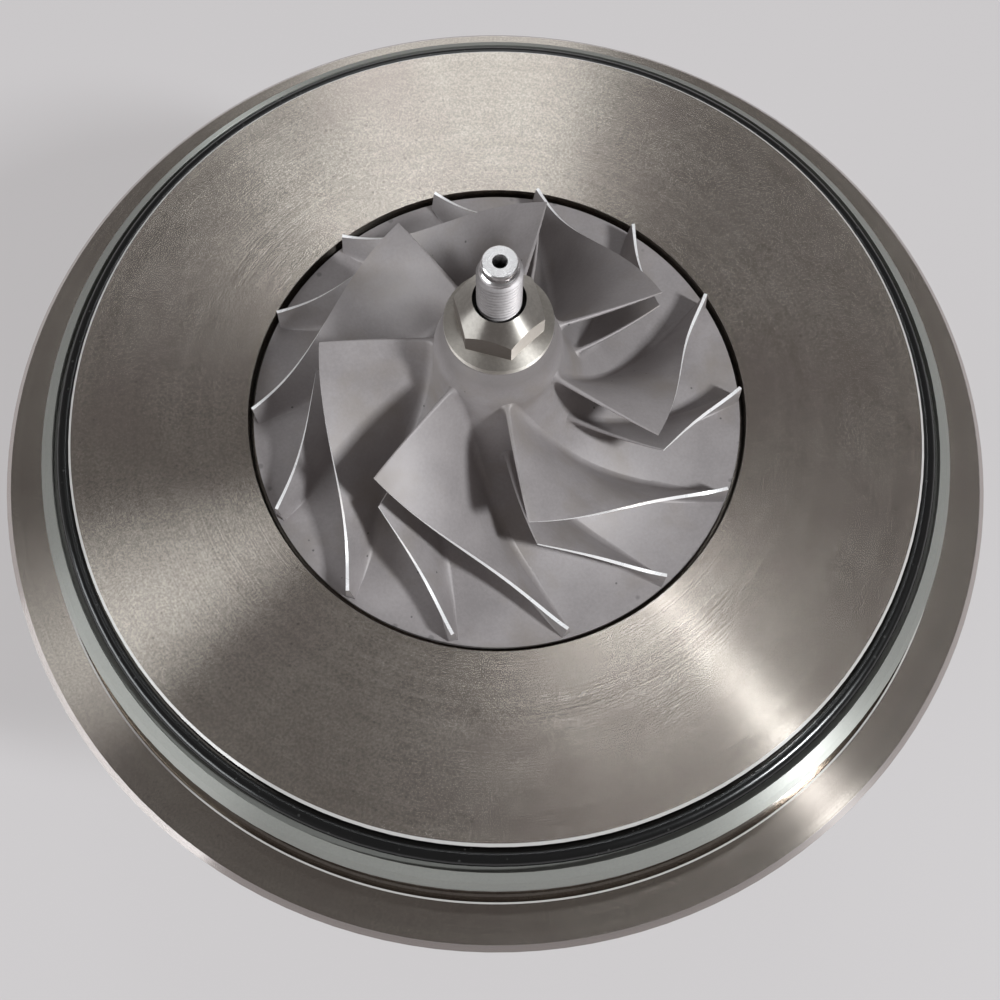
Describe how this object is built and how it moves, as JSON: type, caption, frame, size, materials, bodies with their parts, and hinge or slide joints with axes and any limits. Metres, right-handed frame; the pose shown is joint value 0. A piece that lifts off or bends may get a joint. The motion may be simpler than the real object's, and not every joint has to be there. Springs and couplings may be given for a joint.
{
  "type": "turbocharger cartridge",
  "caption": "Turbocharger centre section: machined backplate with clamp rim, bladed compressor wheel and turbine wheel on one shaft, floating bushes and oil ports in an iron housing.",
  "frame": {"origin": "on the shaft axis, in the plane on which the compressor cover seats", "axes": "+Z along the shaft towards the compressor inlet, +Y towards the oil inlet"},
  "size_m": [0.212, 0.212, 0.2405],
  "materials": {
    "backplate_iron": "turned bright, with fine concentric tool marks",
    "housing_iron": "as cast, with machined faces",
    "rubber": "matt black",
    "bolt_steel": "dark phosphated",
    "inner_steel": "ground",
    "bronze": "turned bearing bronze",
    "shield_steel": "pressed stainless sheet",
    "wheel_aluminium": "satin cast, with bright machined blade edges",
    "turbine_alloy": "investment cast nickel alloy",
    "shaft_steel": "ground, with a rolled thread",
    "nut_steel": "turned bright"
  },
  "bodies": {
    "housing": {"compressor_backplate": "backplate_iron", "cover_o_ring": "rubber", "bearing_housing": "housing_iron", "joint_o_ring": "rubber", "backplate_bolts": "bolt_steel", "oil_seal_plate": "inner_steel", "seal_plate_o_ring": "rubber", "seal_plate_circlip": "bolt_steel", "oil_baffle": "inner_steel", "thrust_bearing": "bronze", "thrust_dowels": "inner_steel", "bush_snap_rings": "bolt_steel", "compressor_piston_ring": "bolt_steel", "turbine_piston_ring": "bolt_steel", "heat_shield": "shield_steel"},
    "rotor": {"shaft": "shaft_steel", "turbine_wheel": "turbine_alloy", "thrust_collar": "inner_steel", "oil_slinger": "inner_steel", "compressor_wheel": "wheel_aluminium", "rotor_nut": "nut_steel"},
    "bush_compressor_end": {"compressor_bush": "bronze"},
    "bush_turbine_end": {"turbine_bush": "bronze"}
  },
  "joints": [
    {"name": "rotor_spin", "type": "hinge", "parent": "housing", "child": "rotor", "pos_m": [0, 0, 0], "axis": [0, 0, 1], "continuous": true},
    {"name": "compressor_bush_spin", "type": "hinge", "parent": "housing", "child": "bush_compressor_end", "pos_m": [0, 0, -0.0413], "axis": [0, 0, 1], "continuous": true},
    {"name": "turbine_bush_spin", "type": "hinge", "parent": "housing", "child": "bush_turbine_end", "pos_m": [0, 0, -0.0863], "axis": [0, 0, 1], "continuous": true}
  ]
}
